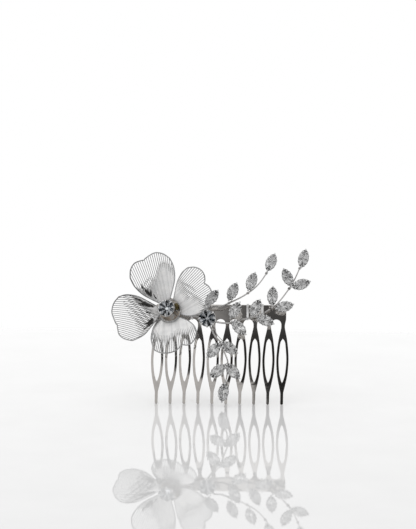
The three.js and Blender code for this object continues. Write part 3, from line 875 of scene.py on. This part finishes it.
def in_streak(petal, reach, aside):
    """True where a sharply folded streak, painted dark as a dark reflection, crosses the petal."""
    for (r0, a0, half0), (r1, a1, half1) in petal["streaks"]:
        long, wide = r1 - r0, a1 - a0
        share = ((reach - r0) * long + (aside - a0) * wide) / (long ** 2 + wide ** 2)
        if 0 <= share <= 1:
            off = math.hypot(reach - mix(r0, r1, share), aside - mix(a0, a1, share))
            if off < mix(half0, half1, share):
                return True
    return False


def evenly(start, end, step):
    """Evenly spaced values from start to end."""
    count = max(2, math.ceil((end - start) / step))
    return [mix(start, end, k / count) for k in range(count + 1)]


def petal_webs(shape, petal, outline, layer, count):
    """The closed sheet of a petal: a strip between each two ribs, which ends in a point."""
    for number in range(-count, count):
        middle_span = rib_span(petal, outline, layer, number + 0.5)
        if not middle_span:
            continue
        beside = [rib_span(petal, outline, layer, n) for n in (number, number + 1)]
        start = min(span[0] for span in beside + [middle_span] if span)
        end = max(start + WEB_SHORTEST, closed_end(petal, middle_span, layer, number + 0.5))
        rings = []
        for reach in evenly(start, end, WEB_STEP):
            rings.append(web_ring(petal, outline, layer, number, reach, end))
        shape.loft(rings, finish=random.choice((SHEET, SHADED_SHEET)))


def web_ring(petal, outline, layer, number, reach, end):
    limits = side_limits(outline, reach)
    narrow = smoothstep((end - reach) / WEB_TAPER)
    centre = clamp(rib_aside(petal, layer, number + 0.5, reach), *limits)
    left, right = [
        mix(centre, clamp(rib_aside(petal, layer, n, reach), *limits), narrow)
        for n in (number, number + 1)
    ]
    top = WEB_TOP * narrow
    crown = mix(WEB_POINT, WEB_TOP + WEB_CROWN, narrow)
    spots = [(left, top), (centre, crown), (right, top), (right, WEB_UNDER), (left, WEB_UNDER)]
    return petal_ring(petal, reach, spots)


def petal_streaks(shape, petal, layer, count):
    """Creases along the ribs, painted dark as a dark reflection: a narrow pointed ridge in each gap
    that a streak crosses.
    """
    for place in (number / 2 for number in range(-2 * count, 2 * count)):
        checks = [k * RIB_CHECK for k in range(int(petal["notch"] / RIB_CHECK))]
        crossed = [r for r in checks if in_streak(petal, r, rib_aside(petal, layer, place, r))]
        if not crossed:
            continue
        start = crossed[0] - random.uniform(*STREAK_BEFORE)
        end = crossed[-1] + random.uniform(*STREAK_AFTER)
        rings = []
        for k in range(STREAK_STEPS + 1):
            reach = mix(start, end, k / STREAK_STEPS)
            centre = rib_aside(petal, layer, place, reach)
            share = (k + STREAK_BLUNT) / (STREAK_STEPS + 2 * STREAK_BLUNT)
            wide = STREAK_WIDTH * layer["pitch"] * math.sin(math.pi * share) ** STREAK_FULL
            crest = STREAK_TOP + STREAK_CREST * wide
            sides = [(centre - wide, STREAK_SIDE), (centre, crest), (centre + wide, STREAK_SIDE)]
            rings.append(petal_ring(petal, reach, sides + [(centre, STREAK_FOOT)]))
        shape.loft(rings, finish=FOLD_PAINTED_DARK)


def rib_finish(petal, reach, aside):
    """Ribs are painted dark in a streak, as a dark reflection, and painted darker near the base of a
    shaded petal, as shade.
    """
    if in_streak(petal, reach, aside):
        return FOLD_PAINTED_DARK
    return SHADED_RIB if reach < petal["shaded"] else RIB


def petal_ribs(shape, petal, outline, layer, count):
    for number in range(-count, count + 1):
        span = rib_span(petal, outline, layer, number)
        if not span:
            continue
        start = span[0]
        if layer["starts_open"]:
            start = closed_end(petal, span, layer, number) - RIB_OVERLAP
        end = mix(span[0], span[1], layer["length"])
        if end - start < 1:
            continue
        reaches = evenly(max(span[0], start), end + RIB_PAST_RIM, RIB_STEP)
        spots = [(reach, rib_aside(petal, layer, number, reach)) for reach in reaches]
        line = [petal_place(petal, reach, aside, layer["lift"]) for reach, aside in spots]
        finishes = [rib_finish(petal, *spot) for spot in spots]
        shape.tube(line, layer["radius"], sides=6, finish=finishes)


# What the faces of a petal are made of. The fold finish is a painted dark reflection, and both rib
# finishes are painted shade.
SHEET, FOLD_PAINTED_DARK, RIB, SHADED_SHEET, SHADED_RIB = range(5)
PETAL_METALS = [SHEET_METAL, FOLD_PAINTED_DARK_REFLECTION_METAL, RIB_PAINTED_SHADE_METAL, SHEET_SHADE, RIB_SHADE]


def petals():
    for name, petal in PETALS.items():
        shape = Shape()
        outline = petal_outline(petal)
        widest = max(abs(aside) for _, aside in outline)
        for layer in RIB_LAYERS:
            petal_ribs(shape, petal, outline, layer, int(widest / layer["pitch"]) + RIB_SPARE)
        front = RIB_LAYERS[0]
        count = int(widest / front["pitch"]) + WEB_SPARE
        petal_webs(shape, petal, outline, front, count)
        petal_streaks(shape, petal, front, count)
        rim = [petal_place(petal, reach, aside) for reach, aside in outline]
        # The rim takes the ribs' painted shade.
        shape.tube(rim, RIM_RADIUS, finish=RIB)
        make_piece(name + "_wirework", shape, PETAL_METALS, name)


def lathe(shape, profile, stations, centre=(0, 0), lobes=0, wave=0.0):
    """A turned form in the flower's frame, from a profile of radius and height.

    Lobes make it wavy, more so towards its edge.
    """
    widest = max(radius for radius, _ in profile)
    rings = []
    for radius, height in profile:
        ring = []
        for k, (c, s) in enumerate(circle_steps(stations)):
            drop = wave * (radius / widest) ** 2 * abs(math.sin(math.pi * lobes * k / stations))
            spot = Vector((centre[0] + radius * c, centre[1] + radius * s, height - drop))
            ring.append(FLOWER @ spot)
        rings.append(ring)
    shape.loft(rings)


def coiled_ring(shape):
    """A ring of tightly coiled wire round the dish."""
    path = []
    coil = circle_steps(RING_SIDES)
    for k, (c, s) in enumerate(circle_steps(RING_TURNS * RING_SIDES)):
        out, up = coil[k % RING_SIDES]
        far = DISH_RADIUS + RING_CLEARANCE + RING_RADIUS * out
        height = RING_HEIGHT + RING_RADIUS * up
        path.append(FLOWER @ Vector((DISH_CENTRE[0] + far * c, DISH_CENTRE[1] + far * s, height)))
    shape.tube(path, RING_WIRE, sides=6, finish=1)


def flower_base():
    """The lobed dish under the flower's stone, its backing cup and the post of the stone."""
    shape = Shape()
    back = [(radius, height - DISH_THICKNESS) for radius, height in reversed(DISH_PROFILE)]
    lathe(shape, DISH_PROFILE + back, 96, DISH_CENTRE, DISH_LOBES, DISH_WAVE)
    coiled_ring(shape)
    lathe(shape, BASE_PROFILE, 48)
    post_top = STONE_HEIGHT - ROUND["depth"] - POST_GAP
    post = [(AXIS_GAP, 0), (POST_RADIUS, 0), (POST_RADIUS, post_top), (AXIS_GAP, post_top)]
    lathe(shape, post, 24)
    facing = FLOWER.to_3x3() @ Vector((0, 0, 1))
    shape.ball(FLOWER @ Vector(WASHER_CENTRE), WASHER_RADIUS, 2, WASHER_SQUASH, facing)
    finishes = [AGED_BRASS, CLAW_METAL, DARK_BRASS]
    make_piece("flower_dish", shape, finishes, "flower_base")


# ---- stones and settings ----

def corners(node):
    """The corner points of a CAD node, each once, in millimetres."""
    points = [vertex.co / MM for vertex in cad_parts[node].data.vertices]
    return list({tuple(round(c, 2) for c in point): point for point in points}.values())


def middle(points):
    return sum(points, Vector()) / len(points)


def seat_of(name, kind, stem=None):
    """The place of a stone: X along it away from its stem, Z out of its face, girdle at 0."""
    cup = corners(name + "_setting")
    gem = corners(name + "_stone")
    out = (middle(gem) - middle(cup)).normalized()
    along = Vector((1, 0, 0))
    if kind["pointed"]:
        far = max(cup, key=lambda p: (p - cup[0]).length)
        along = max(cup, key=lambda p: (p - far).length) - far
    along = (along - out * along.dot(out)).normalized()
    centre = middle(gem)
    centre += out * (max(p.dot(out) for p in cup) - CLAW_RISE - centre.dot(out))
    if stem:
        nearest = min(stem, key=lambda p: (p - centre).length)
        if (nearest - centre).dot(along) > 0:
            along = -along
    return frame_at(centre, along, out)


def outline_point(kind, shrink_long, shrink_wide, station):
    """A place on a stone's outline. The station runs from 0 to 1 round it."""
    station %= 1
    long = kind["long"] - shrink_long
    wide = kind["wide"] - shrink_wide
    if not kind["pointed"]:
        turn = 2 * math.pi * station
        return Vector((long * math.cos(turn), wide * math.sin(turn)))
    radius = (long * long + wide * wide) / (2 * wide)
    spread = math.asin(long / radius)
    angle = spread * (1 - 4 * (station % 0.5))
    point = Vector((radius * math.sin(angle), radius * (math.cos(angle) - 1) + wide))
    return point if station < 0.5 else -point


def outline_ring(kind, shrink, height, count, offset=0.0):
    stations = [(k + offset) / count for k in range(count)]
    return [Vector((*outline_point(kind, *shrink, station), height)) for station in stations]


def placed(matrix, rings):
    return [[matrix @ point for point in ring] for ring in rings]


def cup_wall(kind):
    """The rings of a thin cup whose rim dips between its claws."""
    long_inset, wide_inset = (CUP_FOOT_INSET[0] * kind["long"], CUP_FOOT_INSET[1] * kind["wide"])
    rings = []
    for share, inset, height_share, offset in CUP_RINGS:
        shrink = (long_inset * share + inset, wide_inset * share + inset)
        ring = outline_ring(kind, shrink, height_share * kind["depth"] + offset, CUP_STATIONS)
        if not share:
            for k, point in enumerate(ring):
                wave = math.cos(2 * math.pi * kind["claws"] * k / CUP_STATIONS)
                point.z += CUP_SCALLOP * (wave - 1)
        rings.append(ring)
    return rings


def claw(kind, station):
    """The rings of one claw, which rises outside the girdle and bends in over the crown."""
    before, spot, after = [
        outline_point(kind, CLAW_INSET, CLAW_INSET, station + step)
        for step in (-CLAW_STEP, 0, CLAW_STEP)
    ]
    run = (after - before).normalized()
    if (station * 2) % 1 == 0 and kind["pointed"]:
        run = Vector((0, math.copysign(1, spot.x)))
    out = Vector((run.y, -run.x))
    if out.dot(spot) < 0:
        out = -out
    rings = []
    for k, (shift, height, width) in enumerate(CLAW_PATH):
        half = width / 2
        thick = mix(*CLAW_THICKNESS, k / (len(CLAW_PATH) - 1)) / 2
        tilt = smoothstep(k / (len(CLAW_PATH) - 2))
        ring = []
        for across, face in CLAW_SECTION:
            aside = run * half * across + out * (shift + thick * (1 - tilt) * face)
            ring.append(kind["claw_size"] * Vector((*aside, height + thick * tilt * face)))
        rings.append([Vector((*spot, 0)) + point for point in ring])
    return rings


def setting(name, kind, matrix):
    shape = Shape()
    shape.loft(placed(matrix, cup_wall(kind)))
    for k in range(kind["claws"]):
        shape.loft(placed(matrix, claw(kind, k / kind["claws"])))
    make_piece(name + "_claw_cup", shape, [CLAW_METAL], name + "_setting", 50)


def crown_faces(count):
    """Facets of a crown: table ring, star ring half a step on, then a girdle twice as long."""
    faces = [tuple(range(count))]
    for k in range(count):
        star = count + k
        before = count + (k - 1) % count
        a, b, c = [2 * count + (2 * k + step) % (2 * count) for step in range(3)]
        faces += [(k, star, (k + 1) % count), (k, before, a), (k, a, star), (star, a, b), (star, b, c)]
    return faces


def dark_facets(kind):
    """The facets underneath that are painted dark, as a dark reflection: a few of a pointed stone's,
    half of a round one's.
    """
    count = 2 * kind["facets"]
    return random.sample(range(count), DARK_FACETS) if kind["pointed"] else range(1, count, 2)


def stone(name, kind, matrix, material, shade):
    """A brilliant-cut stone, foiled underneath, with some of its facets painted dark as a reflection
    of the dark surroundings.
    """
    seat = (SEAT_INSET, SEAT_INSET)
    table, star, keel = [
        (inset[0] * kind["long"], inset[1] * kind["wide"])
        for inset in (TABLE_INSET, STAR_INSET, KEEL_INSET)
    ]
    top = CROWN_SHARE * kind["wide"] + CROWN_RISE
    count = kind["facets"]
    crown = outline_ring(kind, table, top, count)
    crown += outline_ring(kind, star, STAR_HEIGHT * top, count, 0.5)
    crown += outline_ring(kind, seat, GIRDLE, 2 * count)
    shape = Shape()
    shape.add([matrix @ point for point in crown], crown_faces(count))
    girdle = [outline_ring(kind, seat, height, 2 * count) for height in (-GIRDLE, GIRDLE)]
    shape.loft(placed(matrix, girdle), capped=False)
    dark = dark_facets(kind)
    under = outline_ring(kind, seat, -GIRDLE, 2 * count)
    under += outline_ring(kind, keel, KEEL_RISE - kind["depth"], 2 * count)
    faces = [tuple(range(2 * count, 4 * count))]
    for k in range(2 * count):
        after = (k + 1) % (2 * count)
        faces.append((k, after, 2 * count + after, 2 * count + k))
    # Each facet underneath is bright foil or, in the dark set, the painted dark reflection.
    finishes = [1] + [2 if k in dark else 1 for k in range(2 * count)]
    shape.add([matrix @ point for point in under], faces, finishes)
    metals = [material, FOIL, shade]
    piece = make_piece(name + "_cut", shape, metals, name + "_stone", 0)
    edit(piece.data, close_seams)


def close_seams(work):
    bmesh.ops.remove_doubles(work, verts=work.verts, dist=STONE_WELD)
    face_outwards(work)


# ---- sprigs ----

def binding(shape, centre, ahead):
    """A few turns of thin wire round a stem."""
    side = ahead.orthogonal().normalized()
    up = ahead.cross(side)
    path = []
    steps = BINDING_SIDES * BINDING_TURNS
    for k in range(steps + 1):
        turn = 2 * math.pi * k / BINDING_SIDES
        along = (k / steps - 0.5) * BINDING_TURNS * BINDING_PITCH
        around = math.cos(turn) * side + math.sin(turn) * up
        path.append(centre + ahead * along + BINDING_RADIUS * around)
    shape.tube(path, BINDING_WIRE, sides=6)


def stalk_path(stem, seat):
    """The way of a stalk: along the stem, then away from it and under the base of its setting."""
    end = seat @ Vector((STALK_INSET - LEAF["long"], 0, -STALK_DEPTH * LEAF["depth"]))
    near = min(range(len(stem)), key=lambda i: (stem[i] - end).length)
    start = max(0, near - STALK_SPAN)
    ahead = (stem[near] - stem[start]).normalized()
    leave = stem[near]
    toward = end - leave
    return [
        stem[start], mix(stem[start], leave, 0.6) + toward * 0.04,
        leave + toward * 0.35 + ahead * 0.2, leave + toward * 0.8, end,
        end + seat.to_3x3() @ Vector((0.9, 0, 0.25)),
    ], start, ahead


def sprig(name):
    stem = curve_through([at(*p) for p in STEMS[name]])
    last = len(stem) - 1
    shape = Shape()
    radii = [mix(STEM_ROOT_RADIUS, STEM_TIP_RADIUS, k / last) for k in range(len(stem))]
    shape.tube(stem, radii, sides=10)
    if name in DOUBLED:
        beside = stem[:int(len(stem) * DOUBLED[name])]
        shape.tube([p + Vector(DOUBLED_OFFSET) for p in beside], STALK_RADIUS)
    for index in range(1, LEAVES[name] + 1):
        leaf = f"{name}_leaf_{index}"
        seat = seat_of(leaf, LEAF, stem)
        setting(leaf, LEAF, seat)
        stone(leaf, LEAF, seat, CLEAR_STONE, FOIL_PAINTED_GREY_REFLECTION)
        points, start, ahead = stalk_path(stem, seat)
        shape.tube(curve_through(points, STALK_PARTS), STALK_RADIUS)
        binding(shape, stem[min(start + STALK_SPAN // 2 + 1, last)], ahead)
        facing = seat.to_3x3() @ Vector((0, 0, 1))
        shape.ball(points[-2], BEAD_RADIUS, squash=BEAD_SQUASH, axis=facing)
    make_piece(name + "_wires", shape, [WIRE_METAL], name + "_stem")


# ---- binding wire ----

def circle(centre, radius):
    """Flat points round a centre."""
    return [(centre[0] + radius * c, centre[1] + radius * s) for c, s in circle_steps(12)]


def turns_left(a, b, c):
    return (b[0] - a[0]) * (c[1] - a[1]) > (b[1] - a[1]) * (c[0] - a[0])


def tight_loop(points):
    """The loop of a thread pulled tight round flat points."""
    loop = []
    for run in (sorted(points), sorted(points, reverse=True)):
        start = len(loop)
        for point in run:
            while len(loop) > start + 1 and not turns_left(loop[-2], loop[-1], point):
                loop.pop()
            loop.append(point)
        loop.pop()
    return loop


def stems_at(x):
    """The points where the stems cross a plane across the bar."""
    found = []
    for points in STEMS.values():
        path = curve_through([Vector(p) for p in points])
        for a, b in zip(path, path[1:]):
            if a.x <= x < b.x:
                found.append(mix(a, b, (x - a.x) / (b.x - a.x)))
    return found


def wrap(name):
    """Turns of wire pulled tight round the bar and the stems in front of it."""
    low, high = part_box(name)
    x = (low.x + high.x) / 2 / MM - ORIGIN.x
    width = (high.x - low.x) / MM
    height = (NECK_TOP + ARCH_RADIUS + BAR_TOP) / 2
    slope = math.atan(BEND_SLOPE + 2 * BEND_CURVE * height)
    turn = Matrix.Rotation(-slope, 3, "X")
    centre = Vector((x, back_of(height), height))
    tall = (BAR_TOP - height) / math.cos(slope)
    thick = PLATE_THICKNESS / 2
    held = []
    for spot in [(-thick, -tall), (-thick, tall), (thick, -tall), (thick, tall)]:
        held += circle(spot, WRAP_WIRE_RADIUS + WRAP_CLEARANCE)
    for stem in stems_at(x):
        _, out, up = turn.inverted() @ (stem - centre)
        if -WRAP_REACH < out < 0 and abs(up) < tall + WRAP_DROP:
            held += circle((out, up), STEM_ROOT_RADIUS + WRAP_WIRE_RADIUS)
    loop = tight_loop(held)
    span = width - 2 * WRAP_WIRE_RADIUS
    total = WRAP_TURNS * len(loop)
    path = []
    for k in range(total + 1):
        out, up = loop[k % len(loop)]
        path.append(at(*(centre + turn @ Vector(((k / total - 0.5) * span, out, up)))))
    shape = Shape()
    shape.tube(path, WRAP_WIRE_RADIUS, sides=7)
    make_piece(name + "_turns", shape, [BAND_METAL], name)


# ---- surroundings ----

def floor():
    mesh = bpy.data.meshes.new("floor")
    half = FLOOR_HALF_WIDTH
    back = ORIGIN.y * MM + FLOOR_BACK
    spots = [(-half, -FLOOR_FRONT, 0), (half, -FLOOR_FRONT, 0), (half, back, 0), (-half, back, 0)]
    mesh.from_pydata(spots, [], [(0, 1, 2, 3)])
    mesh.materials.append(white_floor())
    plane = new_object("floor", mesh)


def surroundings():
    """White to the camera. To everything else, a pale tent with a dark gap in front of the comb."""
    world = bpy.data.worlds.new("tent")
    bpy.context.scene.world = world
    world.use_nodes = True
    world.node_tree.nodes.clear()
    nodes = Nodes(world.node_tree)
    way = nodes.add("ShaderNodeSeparateXYZ", Vector=nodes.coordinates("Generated"))
    x, y, z = way.outputs
    gap_left = nodes.calc("ADD", x, nodes.steps(z, GAP_LEFT))
    gap = nodes.span(gap_left, -GAP_BLUR, GAP_BLUR, 0, 1)
    for direction, limits in ((x, GAP_RIGHT), (y, GAP_BACK), (z, GAP_TOP)):
        gap = nodes.calc("MULTIPLY", gap, nodes.span(direction, *limits, 1, 0))
    bar_level = nodes.steps(nodes.span(x, *BAR_ACROSS, 0, 1), BAR_LEVEL)
    teeth_level = nodes.span(z, *TEETH_TOP)
    gap_level = nodes.blend(nodes.span(z, *BAR_FROM, 0, 1), teeth_level, bar_level)
    sides = nodes.calc("MULTIPLY", nodes.span(z, *TENT_UP), nodes.span(x, *TENT_RIGHT))
    tent = nodes.blend(nodes.span(y, *TENT_BEHIND, 0, 1), sides, 1.0)
    camera_ray = nodes.add("ShaderNodeLightPath").outputs["Is Camera Ray"]
    seen = nodes.blend(camera_ray, nodes.blend(gap, tent, gap_level), 1.0)
    background = nodes.add("ShaderNodeBackground", Color=seen)
    output = nodes.add("ShaderNodeOutputWorld")
    nodes.tree.links.new(background.outputs[0], output.inputs["Surface"])


def area_light(name, place, size, watts):
    light = bpy.data.lights.new(name, "AREA")
    light.shape = "RECTANGLE"
    light.size, light.size_y = size
    light.energy = watts
    lamp = new_object(name, light)
    lamp.location = place
    aim = Vector(LIGHT_TARGET) - Vector(place)
    lamp.rotation_euler = aim.to_track_quat("-Z", "Y").to_euler()
    lamp.visible_glossy = False


def camera():
    lens = bpy.data.cameras.new("camera")
    lens.lens = LENS
    lens.sensor_width = SENSOR
    lens.clip_start, lens.clip_end = 0.01, 20
    eye = new_object("camera", lens)
    eye.location = at(*CAMERA) * MM
    eye.rotation_euler = (math.radians(90 - CAMERA_PITCH), 0, math.radians(CAMERA_TURN))
    bpy.context.scene.camera = eye


camera()
surroundings()
for light_name, light in LIGHTS.items():
    area_light(light_name, **light)
floor()
comb_plate()
petals()
flower_base()
for round_name, facets in ROUND_FACETS.items():
    round_seat = seat_of(round_name, ROUND)
    setting(round_name, ROUND, round_seat)
    stone(round_name, ROUND | {"facets": facets}, round_seat, BLUE_STONE, FOIL_PAINTED_DARK_REFLECTION)
for sprig_name in STEMS:
    sprig(sprig_name)
for wrap_name in WRAPS:
    wrap(wrap_name)

bpy.context.scene.view_settings.view_transform = "Standard"
